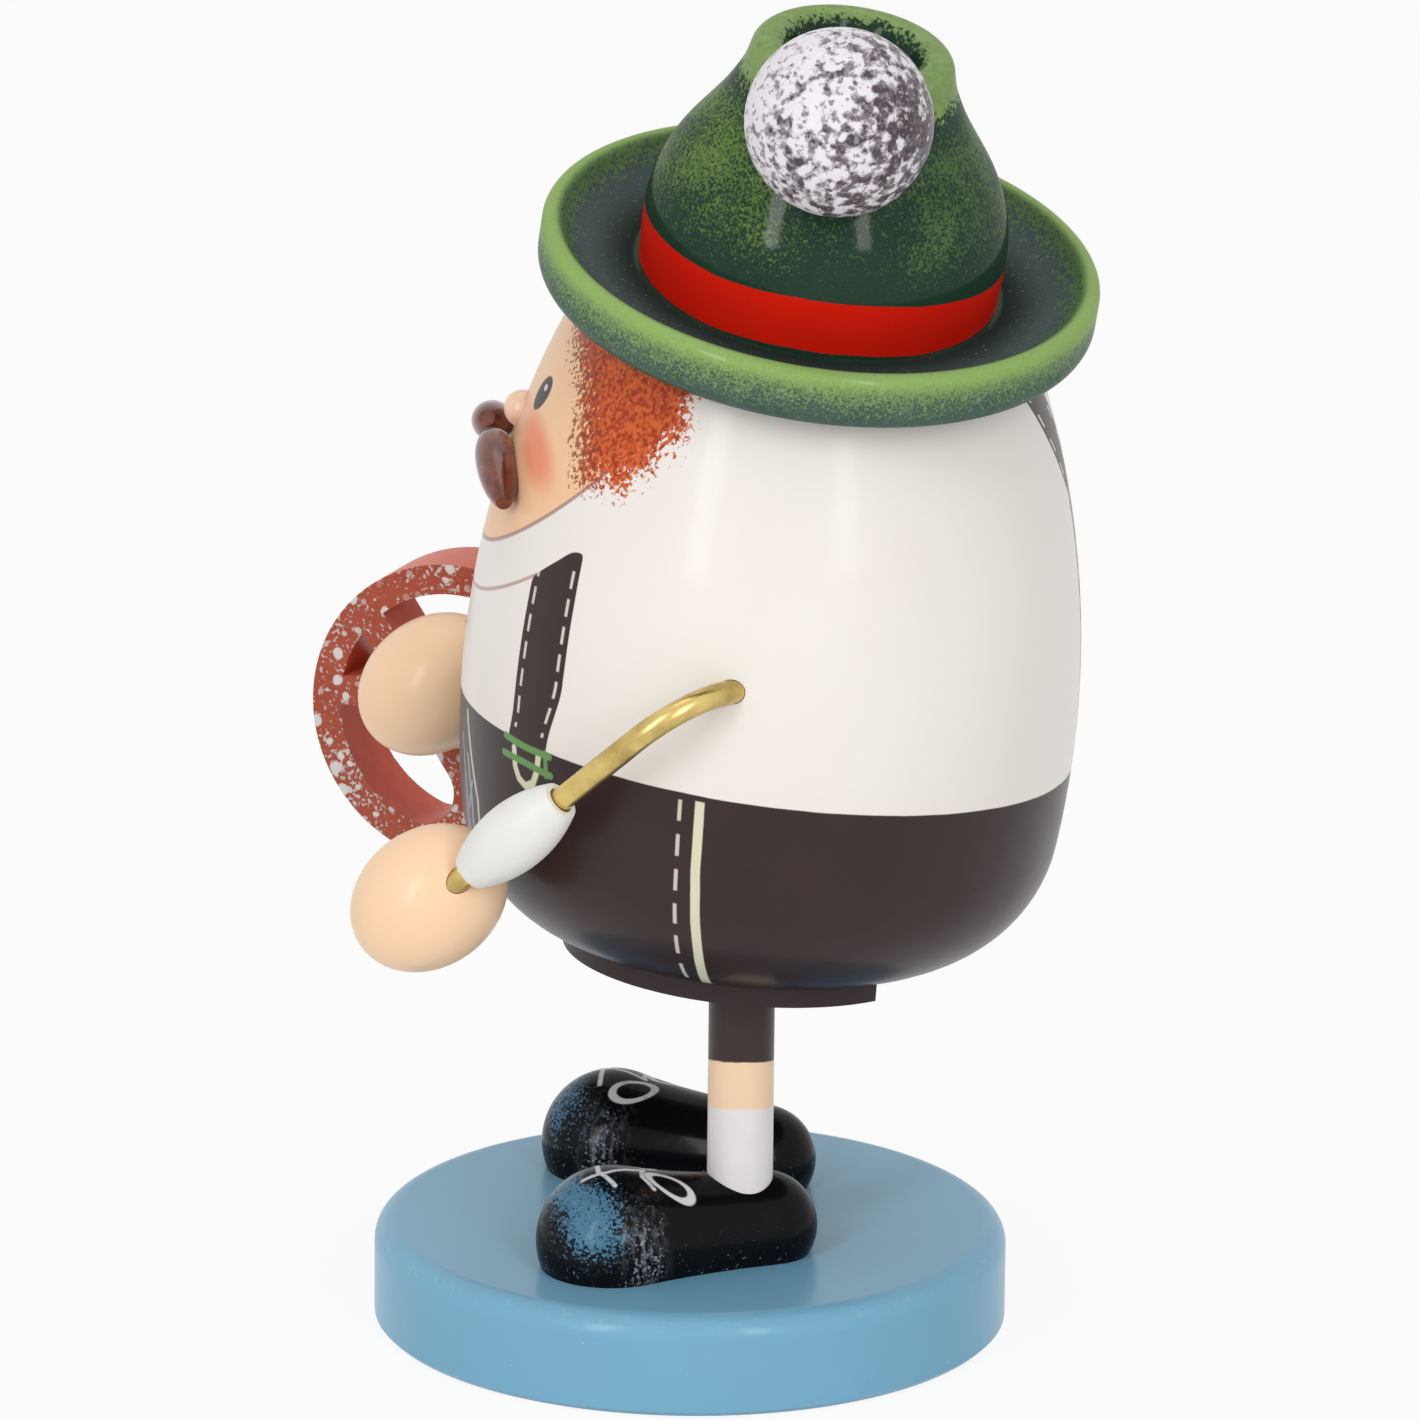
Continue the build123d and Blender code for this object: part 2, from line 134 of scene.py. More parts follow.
class Paint:
    """One procedural material in the model's own millimetres."""

    def __init__(self, name, **sockets):
        self.material = bpy.data.materials.new(name)
        self.material.use_nodes = True
        self.tree = self.material.node_tree
        self.shader = self.tree.nodes["Principled BSDF"]
        for label, value in sockets.items():
            self.shader.inputs[label.replace("_", " ")].default_value = value
        place = self.add("ShaderNodeTexCoord").outputs["Object"]
        scale = self.add("ShaderNodeVectorMath")
        scale.operation = "SCALE"
        scale.inputs["Scale"].default_value = 1000.0
        self.tree.links.new(place, scale.inputs[0])
        self.place = scale.outputs[0]
        split = self.add("ShaderNodeSeparateXYZ")
        self.tree.links.new(self.place, split.inputs[0])
        self.x, self.y, self.z = [Field(self, socket) for socket in split.outputs]

    def add(self, kind):
        return self.tree.nodes.new(kind)

    def put(self, value, socket):
        if isinstance(value, Field):
            self.tree.links.new(value.socket, socket)
        else:
            socket.default_value = value

    def math(self, operation, *values):
        node = self.add("ShaderNodeMath")
        node.operation = operation
        for value, socket in zip(values, node.inputs):
            self.put(value, socket)
        return Field(self, node.outputs[0])

    def absolute(self, value):
        return self.math("ABSOLUTE", value)

    def saw(self, value, half):
        """Runs from 0 up to half and back, over and over."""
        return self.math("PINGPONG", value, half)

    def least(self, first, *others):
        for other in others:
            first = self.math("MINIMUM", first, other)
        return first

    def soft_least(self, first, other, reach):
        """The lesser of two, rounded where they meet."""
        return self.math("SMOOTH_MIN", first, other, reach)

    def most(self, first, *others):
        for other in others:
            first = self.math("MAXIMUM", first, other)
        return first

    def size(self, *parts):
        """Length of a vector from its parts."""
        total = parts[0] * parts[0]
        for part in parts[1:]:
            total = total + part * part
        return self.math("SQRT", total)

    def along(self, start, direction):
        """Distance of the place from start, along a direction."""
        return ((self.x - start[0]) * direction[0] + (self.y - start[1]) * direction[1]
                + (self.z - start[2]) * direction[2])

    def ramp(self, value, start, end):
        """0 at start, 1 at end, soft at both."""
        node = self.add("ShaderNodeMapRange")
        node.interpolation_type = "SMOOTHSTEP"
        self.put(value, node.inputs[0])
        node.inputs[1].default_value = start
        node.inputs[2].default_value = end
        return Field(self, node.outputs[0])

    def between(self, value, low, high, soft=0.08):
        return self.ramp(value, low - soft, low + soft) * self.ramp(value, high + soft, high - soft)

    def noise(self, size, seed=0.0, detail=2.0, stretch=None):
        """Cloudy value from 0 to 1, with features of about this size in mm."""
        node = self.add("ShaderNodeTexNoise")
        node.noise_dimensions = "4D"
        node.inputs["W"].default_value = seed
        node.inputs["Scale"].default_value = 1.0 / size
        node.inputs["Detail"].default_value = detail
        if stretch:
            squeeze = self.add("ShaderNodeVectorMath")
            squeeze.operation = "MULTIPLY"
            squeeze.inputs[1].default_value = stretch
            self.tree.links.new(self.place, squeeze.inputs[0])
            self.tree.links.new(squeeze.outputs[0], node.inputs["Vector"])
        else:
            self.tree.links.new(self.place, node.inputs["Vector"])
        return Field(self, node.outputs[0])

    def swing(self, size, reach, seed=0.0):
        """Cloudy value to both sides of 0."""
        return (self.noise(size, seed) - 0.5) * reach

    def cells(self, size):
        """Distance to the nearest of scattered points, in cell sizes."""
        node = self.add("ShaderNodeTexVoronoi")
        node.inputs["Scale"].default_value = 1.0 / size
        self.tree.links.new(self.place, node.inputs["Vector"])
        return Field(self, node.outputs["Distance"])

    def sponge(self, amount, size=0.5, soft=0.14, seed=0.0, detail=3.0):
        """Speckled cover: amount is about the share that is covered."""
        grain = (self.noise(size, seed, detail) - 0.5) * 2.4 + amount - 0.5
        return self.ramp(grain, -soft, soft) * self.ramp(amount, 0.0, 0.08)

    def mix(self, cover, under, over):
        """Colour under, with colour over on top where cover is 1."""
        node = self.add("ShaderNodeMix")
        node.data_type = "RGBA"
        self.put(cover, node.inputs[0])
        self.put(under, node.inputs[6])
        self.put(over, node.inputs[7])
        return Field(self, node.outputs[2])

    def line(self, u, v, start, end):
        """Distance in the plane of u and v to the straight line from start to end."""
        run, rise = end[0] - start[0], end[1] - start[1]
        du, dv = u - start[0], v - start[1]
        share = (du * run + dv * rise) / (run * run + rise * rise)
        share = self.most(self.least(share, 1.0), 0.0)
        return self.size(du - share * run, dv - share * rise)

    def stroke(self, u, v, points, width, soft=0.09):
        """Brush line through points."""
        near = self.least(*[self.line(u, v, a, b) for a, b in zip(points, points[1:])])
        return self.ramp(near, width / 2 + soft, width / 2 - soft)

    def strokes(self, u, v, *lines):
        """Several brush lines, each given as its width and its points."""
        return self.most(*[self.stroke(u, v, points, width) for width, *points in lines])

    def side_of(self, u, v, start, end):
        """Distance to the left of the line from start to end."""
        run, rise = end[0] - start[0], end[1] - start[1]
        length = math.hypot(run, rise)
        return (v - start[1]) * (run / length) - (u - start[0]) * (rise / length)

    def colour(self, value):
        self.put(value, self.shader.inputs["Base Color"])

    def rough(self, value):
        self.put(value, self.shader.inputs["Roughness"])

    def bump(self, height, depth_mm):
        node = self.add("ShaderNodeBump")
        node.inputs["Strength"].default_value = 1.0
        node.inputs["Distance"].default_value = depth_mm / 1000
        self.put(height, node.inputs["Height"])
        self.tree.links.new(node.outputs[0], self.shader.inputs["Normal"])

    def lacquer(self, colour, roughness, wave, grain):
        """Hand-brushed lacquer: slightly uneven gloss and a soft ripple over the colour."""
        patch = self.noise(9.0, seed=3.1, detail=3.0)
        self.colour(colour)
        self.rough(patch * 0.16 + (roughness - 0.08))
        self.bump(self.noise(grain, seed=5.7, detail=3.0), wave)
        return self.material


def bare_wood(name, smoked=0.0):
    paint = Paint(name)
    grain = paint.noise(1.2, seed=1.0, detail=4.0, stretch=(1.0, 1.0, 0.12))
    rays = paint.ramp(paint.noise(0.5, seed=7.0, stretch=(1.0, 1.0, 0.2)), 0.56, 0.7)
    colour = paint.mix(grain, rgb(214, 182, 136), rgb(182, 142, 96))
    colour = paint.mix(rays * 0.5, colour, rgb(150, 108, 68))
    colour = paint.mix(smoked, colour, rgb(60, 42, 30)) if smoked else colour
    paint.colour(colour)
    paint.rough(grain * 0.2 + 0.5)
    paint.bump(grain, 0.05)
    return paint.material


class BodyPlace:
    """Where a point lies on the egg: up its axis, back from it and turned from the front."""

    def __init__(self, paint):
        lean = math.radians(BODY_LEAN)
        y = paint.y - SEAT_Y
        z = paint.z - SEAT_Z
        self.back = y * math.cos(lean) - z * math.sin(lean)
        self.up = y * math.sin(lean) + z * math.cos(lean)
        turn = paint.math("ARCTAN2", paint.x, -self.back) * math.degrees(1)
        self.turn = paint.absolute(turn)
        self.radius = paint.size(paint.x, self.back)
        self.mm_per_degree = self.radius * math.radians(1)
        self.across = self.turn * STRAP_SCALE
        self.wobble = paint.swing(5.0, 0.5, seed=11.0)
        self.waist = self.up - (WAIST_UP - self.back * WAIST_SLOPE) + self.wobble * 0.4

    def beside(self, turn):
        """Distance round the egg from a turn, in mm."""
        return (self.turn - turn) * self.mm_per_degree

    def over_arch(self, height, curve):
        """Height over an arch that is lowest in front."""
        return self.up - (self.turn * self.turn * curve + height)


def face_on(paint, at, colour):
    """Skin, a soft blush, the eye with its glint as a painted highlight, and the pale pink lines of jaw and
    collar.
    """
    skin = paint.mix(paint.noise(10.0, seed=4.0), rgb(249, 206, 166), rgb(242, 196, 154))
    before_ear = paint.ramp(at.turn, EAR_TURN + 0.5, EAR_TURN - 0.5)
    jaw = at.over_arch(JAW_UP, JAW_CURVE)
    colour = paint.mix(paint.ramp(jaw, -0.12, 0.12) * before_ear, colour, skin)

    cheek_v = at.up - CHEEK_UP
    cheek = paint.size((at.beside(CHEEK_TURN) + cheek_v - 0.2) / 5.6, cheek_v / 4.3)
    colour = paint.mix(paint.ramp(cheek, 1.08, 0.3) * 0.85, colour, rgb(240, 132, 92))

    eye_u = at.beside(EYE_TURN)
    eye_v = at.up - EYE_UP
    eye = paint.size(eye_u * 0.494 + eye_v * 0.13, eye_v * 0.55 - eye_u * 0.287)
    colour = paint.mix(paint.ramp(eye, 1.05, 0.92), colour, rgb(32, 24, 24))
    # Painted highlight: a grey-white glint on the eye.
    painted_glint = paint.size((eye_u - 0.25) / 0.5, (eye_v - 0.62) / 0.36)
    colour = paint.mix(paint.ramp(painted_glint, 1.1, 0.8), colour, rgb(205, 205, 208))

    steepness = paint.math("SQRT", at.turn * at.turn * 0.0004 + 1.0)
    jaw_line = paint.ramp(paint.absolute(jaw) / steepness, 0.3, 0.12)
    colour = paint.mix(jaw_line * before_ear * 0.75, colour, rgb(150, 108, 104))
    collar = paint.absolute(at.over_arch(COLLAR_UP, COLLAR_CURVE)) * 0.9
    in_front = paint.ramp(at.turn, COLLAR_END + 0.5, COLLAR_END - 0.5)
    return paint.mix(paint.ramp(collar, 0.26, 0.1) * in_front * 0.75, colour, rgb(178, 132, 126))


def hair_on(paint, at, colour):
    """Sponged hair from the temple round to behind the ear, with darker dabs at the temple."""
    u, up = at.turn * HAIR_SCALE, at.up
    temple = paint.most(-paint.side_of(u, up, (14.9, 60.6), (4.8, 66.6)),
                        -paint.side_of(u, up, (18.5, 53.5), (14.9, 60.6)))
    nape = paint.least(up - 52.0, paint.side_of(u, up, (26.6, 52.4), (31.6, 58.6)), 32.2 - u)
    inner = paint.least(temple, nape) + paint.swing(2.4, 2.2, seed=21.0)
    cover = paint.sponge(paint.ramp(inner, -2.0, 4.6) * 1.05 - 0.02, soft=0.12, seed=8.0)
    dabs = paint.ramp(temple, -2.0, 0.6) * paint.ramp(temple, 6.0, 2.0) * paint.ramp(nape, -1.4, 1.0)
    dabs = paint.sponge(dabs * 0.48, soft=0.1, seed=15.0)
    tone = paint.ramp(paint.noise(0.5, seed=17.0, detail=3.0), 0.36, 0.62)
    hair = paint.mix(tone, rgb(160, 50, 14), rgb(216, 100, 46))
    pale = paint.sponge(paint.ramp(inner, 5.0, 0.5) * 0.3, soft=0.1, seed=19.0)
    hair = paint.mix(pale * 0.7, hair, rgb(240, 170, 128))
    colour = paint.mix(cover, colour, hair)
    return paint.mix(dabs * 0.85, colour, rgb(138, 54, 22))


def trousers_on(paint, at, colour, cloth):
    """Trousers up to the waist, and the front straps with their white stitches."""
    up = at.up
    colour = paint.mix(paint.ramp(at.waist, 0.08, -0.08), colour, cloth)
    left = at.across - STRAP_LEFT + paint.ramp(up, 29.0, 25.0) * 0.5
    right = STRAP_RIGHT - at.across - paint.ramp(up, 33.0, 25.5) * 1.4
    top = paint.side_of(at.across, up, (24.6, 46.9), (18.0, 42.1))
    corner = 0.9
    strap = paint.soft_least(paint.soft_least(left, top, corner),
                             paint.soft_least(right, STRAP_TOP - up, corner), corner)
    strap_on = paint.ramp(strap + at.wobble * 0.25, -0.07, 0.07) * paint.ramp(up, 22.0, 23.0)
    colour = paint.mix(strap_on, colour, cloth)
    dashes = paint.ramp(paint.saw(up, 1.4), 0.44, 0.6) * paint.between(up, 27.0, 44.4)
    rows = paint.least(paint.absolute(left - 0.85), paint.absolute(right - 0.85))
    return paint.mix(paint.ramp(rows, 0.26, 0.11) * dashes * strap_on, colour, STITCH)


def buttons_on(paint, at, colour):
    """Green bars over a cream loop, where the strap meets the waist."""
    loop = paint.strokes(at.across, at.up,
                         (0.75, (18.9, 24.8), (19.2, 23.0), (19.9, 21.9), (21.0, 21.4), (22.1, 22.0),
                          (22.6, 23.4), (22.7, 25.2)))
    colour = paint.mix(loop, colour, CREAM)
    bars = paint.strokes(at.across, at.up,
                         (0.72, (17.3, 25.7), (20.4, 25.4), (24.2, 25.3)),
                         (0.72, (17.2, 23.9), (20.6, 23.8), (24.5, 23.4)),
                         (0.55, (23.6, 25.6), (23.9, 23.2)))
    return paint.mix(bars, colour, rgb(104, 152, 88))


def seams_on(paint, at, colour):
    """Side seam with its row of stitches, and the front flap's outline with a brushed sprig."""
    up = at.up
    seam_off = at.beside(SEAM_TURN + paint.ramp(up, 18.0, 4.0) * 0.8) + at.wobble * 0.5
    seam = paint.ramp(paint.absolute(seam_off), 0.56, 0.4)
    seam = seam * paint.ramp(up, 2.2, 3.2) * paint.ramp(at.waist, -0.5, -0.7)
    colour = paint.mix(seam, colour, CREAM)
    row = paint.ramp(paint.absolute(at.beside(STITCH_ROW_TURN)), 0.26, 0.13)
    dashes = paint.ramp(paint.saw(up + 0.9, 1.85), 0.62, 0.8) * paint.between(up, 3.4, 24.2)
    colour = paint.mix(row * dashes, colour, rgb(205, 200, 190))
    flap = paint.strokes(at.across, up,
                         (0.55, (7.4, 25.2), (8.6, 22.6), (9.9, 19.8), (11.2, 17.0), (11.4, 13.9), (10.8, 11.2),
                          (8.0, 9.6), (0.0, 9.2)))
    sprig = paint.strokes(at.across, up,
                          (0.5, (8.0, 20.8), (9.2, 17.0), (9.4, 13.6)),
                          (0.4, (5.6, 22.4), (7.2, 17.4), (7.5, 12.8)),
                          (0.4, (8.2, 15.4), (9.5, 18.4)))
    below_waist = paint.ramp(at.waist, -0.2, -0.4)
    colour = paint.mix(flap * below_waist, colour, rgb(200, 197, 184))
    return paint.mix(sprig * below_waist * 0.8, colour, rgb(170, 170, 178))


def back_straps_on(paint, at, colour, cloth):
    """Back straps that run together to one between the shoulders."""
    up = at.up
    spine = (180.0 - at.turn) * at.mm_per_degree
    fork = 2.6 - paint.absolute(spine - (up - 51.4) * 0.65) * 0.84
    single = paint.least(3.0 - spine, 52.5 - up)
    strand = paint.most(fork, single)
    strap_on = paint.ramp(paint.least(strand, at.waist + 0.2), -0.07, 0.07)
    colour = paint.mix(strap_on, colour, cloth)
    row = paint.ramp(paint.absolute(strand - 0.75), 0.26, 0.14)
    dashes = paint.ramp(paint.saw(up + 0.4, 1.4), 0.62, 0.78) * paint.ramp(at.waist, 1.0, 1.4)
    return paint.mix(row * dashes * strap_on, colour, STITCH)


def inside_on(paint, at, colour):
    """Bare, smoke-stained wood inside the chamber and the mouth."""
    chamber = paint.ramp(at.radius, 17.5, 17.35) * paint.ramp(at.up, 60.0, 59.0)
    mouth = paint.ramp(paint.size(paint.x, paint.z - MOUTH_Z), MOUTH_RADIUS + 0.05, MOUTH_RADIUS - 0.05)
    mouth = mouth * paint.between(at.back, -22.4, 0.0, soft=0.2)
    grain = paint.noise(1.5, seed=1.0, detail=4.0, stretch=(1.0, 1.0, 0.15))
    wood = paint.mix(grain, rgb(150, 112, 74), rgb(98, 66, 42))
    return paint.mix(paint.most(chamber, mouth), colour, wood)


def body_paint():
    paint = Paint("body_paint", Coat_Weight=0.14, Coat_Roughness=0.12, Specular_IOR_Level=0.2)
    at = BodyPlace(paint)
    shirt = paint.mix(paint.noise(14.0, seed=2.0), rgb(243, 238, 231), rgb(237, 231, 224))
    cloth = paint.mix(paint.noise(7.0, seed=6.0, detail=3.0), rgb(46, 31, 31), rgb(58, 42, 41))
    colour = face_on(paint, at, shirt)
    colour = hair_on(paint, at, colour)
    colour = trousers_on(paint, at, colour, cloth)
    colour = buttons_on(paint, at, colour)
    colour = seams_on(paint, at, colour)
    colour = back_straps_on(paint, at, colour, cloth)
    colour = inside_on(paint, at, colour)
    return paint.lacquer(colour, roughness=0.36, wave=0.016, grain=2.6)


def skin_paint():
    paint = Paint("skin_paint", Coat_Weight=0.16, Coat_Roughness=0.14, Specular_IOR_Level=0.25)
    colour = paint.mix(paint.noise(8.0, seed=4.0), rgb(255, 219, 181), rgb(252, 210, 171))
    return paint.lacquer(colour, roughness=0.38, wave=0.03, grain=2.4)


def nose_paint():
    paint = Paint("nose_paint", Coat_Weight=0.4, Coat_Roughness=0.12, Specular_IOR_Level=0.4)
    tip = paint.ramp(paint.y, -15.5, -18.5)
    colour = paint.mix(tip * 0.4, rgb(255, 220, 190), rgb(250, 192, 166))
    return paint.lacquer(colour, roughness=0.34, wave=0.012, grain=1.4)


def base_paint():
    paint = Paint("base_paint", Coat_Weight=0.24, Coat_Roughness=0.12, Specular_IOR_Level=0.14)
    cloud = paint.noise(16.0, seed=1.0, detail=3.0)
    colour = paint.mix(cloud, rgb(117, 172, 201), rgb(127, 182, 210))
    rings = paint.noise(0.7, seed=9.0, stretch=(0.06, 0.06, 2.0))
    # Lighter sponging on the top rounded edge: partly wear, partly a painted highlight where the rim catches
    # the light.
    edge = paint.ramp(paint.size(paint.x, paint.y), 30.9, 31.9) * paint.ramp(paint.z, 8.6, 9.6)
    wear_and_highlight = paint.sponge(edge * 0.3, size=0.8, soft=0.1, seed=3.0)
    colour = paint.mix(wear_and_highlight * 0.5, colour, rgb(142, 186, 208))
    dust = paint.ramp(paint.cells(3.1), 0.055, 0.03) * 0.5
    colour = paint.mix(dust, colour, rgb(176, 204, 218))
    paint.colour(colour)
    paint.rough(cloud * 0.14 + 0.3)
    paint.bump(paint.noise(2.4, seed=5.7, detail=3.0) + rings * 0.5, 0.02)
    return paint.material


def laces(paint, run, out):
    """Brushed bow: two loops that lean apart, a tail, and the lacing with its bar in front of it."""
    outer = paint.math("SIGN", out)
    loop_run = run - 12.1 + outer * 1.2
    loop_side = paint.absolute(out) - 2.55
    loop_u = loop_run * 0.78 - loop_side * outer * 0.62
    loop_v = loop_run * outer * 0.62 + loop_side * 0.78
    loops = paint.absolute(paint.size(loop_u / 2.3, loop_v / 1.25) - 1.0) * 1.5
    strokes = paint.strokes(run, out,
                            (0.5, (13.1, 0.2), (13.6, 1.8), (12.9, 3.4)),
                            (0.5, (19.6, 0.7), (17.0, 0.9), (14.4, 0.4), (12.9, 0.0)),
                            (0.5, (16.9, -3.0), (17.8, 0.4), (17.0, 3.2)))
    return paint.most(paint.ramp(loops, 0.36, 0.2), strokes)


def shoe_paint(side):
    paint = Paint("shoe_paint_left" if side > 0 else "shoe_paint_right",
                  Coat_Weight=0.12, Coat_Roughness=0.1, Specular_IOR_Level=0.04)
    heading = math.radians(-90 + side * SHOE_SPLAY)
    forward = (math.cos(heading), math.sin(heading), 0.0)
    outward = (-side * forward[1], side * forward[0], 0.0)
    heel = (side * LEG_X - forward[0] * HEEL_BEHIND_LEG, LEG_Y - forward[1] * HEEL_BEHIND_LEG, SHOE_AXIS_Z)
    run = paint.along(heel, forward)
    out = paint.along(heel, outward)
    rise = paint.z - SHOE_AXIS_Z

    # Black lacquer with a blue sponged toe. Behind it, pale specks and a vertical pale streak are a painted
    # highlight, and a few pale specks low down a painted reflection.
    colour = paint.mix(paint.noise(4.0, seed=2.0, detail=3.0), rgb(9, 9, 11), rgb(17, 17, 20))
    toe = paint.ramp(run, 14.8, 20.0) * paint.ramp(run, 24.4, 20.8) * paint.ramp(out, -13.0, 1.5)
    toe = toe * paint.ramp(rise, -2.0, 3.0) * paint.ramp(rise, 8.4, 5.6)
    cloud = paint.swing(3.4, 0.5, seed=9.0)
    blue = paint.sponge(toe * 0.78 + cloud * toe, size=0.28, soft=0.2, seed=4.0)
    tone = paint.mix(paint.noise(0.7, seed=12.0), rgb(60, 108, 140), rgb(102, 152, 180))
    colour = paint.mix(blue * 0.88, colour, tone)
    # Painted highlight: pale specks across a band behind the toe, and painted reflection in the pale specks low
    # down.
    band = paint.ramp(run, 11.5, 15.0) * paint.ramp(run, 18.5, 15.5) * paint.ramp(rise, 7.5, 2.0)
    low = paint.ramp(rise, 3.0, -2.0)
    specks = paint.sponge(band * 0.26 + low * 0.08, size=0.34, soft=0.1, seed=6.0)
    colour = paint.mix(specks * 0.55, colour, rgb(176, 184, 194))
    # Painted highlight: a vertical pale streak over the same band.
    highlight_streak = paint.noise(0.5, seed=23.0, detail=3.0, stretch=(1.0, 1.0, 0.14))
    colour = paint.mix(paint.ramp(highlight_streak, 0.44, 0.72) * band * 0.4, colour, rgb(164, 168, 178))

    streaks = paint.ramp(paint.noise(0.9, seed=19.0), 0.24, 0.5)
    lace = laces(paint, run, out) * paint.ramp(rise, 1.0, 2.0)
    colour = paint.mix(lace * (streaks * 0.35 + 0.6), colour, rgb(226, 226, 230))
    return paint.lacquer(colour, roughness=0.27, wave=0.05, grain=1.3)


def leg_paint():
    """White sock, bare knee and brown trouser leg, with hand-drawn edges that slope a little."""
    paint = Paint("leg_paint", Coat_Weight=0.1, Coat_Roughness=0.18, Specular_IOR_Level=0.22)
    ragged = paint.swing(2.0, 0.35, seed=3.0)
    slope = (paint.absolute(paint.x) - LEG_X) * 0.2 + 0.35
    height = paint.z + ragged - slope
    cloud = paint.noise(6.0, seed=1.0, detail=3.0)
    knee = paint.ramp(height, SOCK_TOP - 0.1, SOCK_TOP + 0.1)
    colour = paint.mix(knee, rgb(243, 236, 236), rgb(255, 220, 184))
    colour = paint.mix(paint.ramp(height, KNEE_TOP - 0.1, KNEE_TOP + 0.1), colour, rgb(56, 43, 42))
    colour = paint.mix(cloud * 0.06, colour, rgb(120, 100, 90))
    # Painted shade: the sock turns greyer at its foot, where the leg goes into the shoe.
    foot_shade = paint.ramp(paint.z, 16.6, 15.4) * 0.3
    colour = paint.mix(foot_shade, colour, rgb(120, 112, 110))
    paint.colour(colour)
    paint.rough(cloud * 0.2 + 0.3)
    paint.bump(paint.noise(1.2, seed=5.7, detail=3.0, stretch=(1.0, 1.0, 0.3)), 0.03)
    return paint.material


def trouser_paint():
    paint = Paint("trouser_paint", Coat_Weight=0.08, Coat_Roughness=0.2, Specular_IOR_Level=0.16)
    colour = paint.mix(paint.noise(5.0, seed=6.0, detail=3.0), rgb(48, 37, 37), rgb(62, 49, 50))
    return paint.lacquer(colour, roughness=0.42, wave=0.03, grain=1.6)


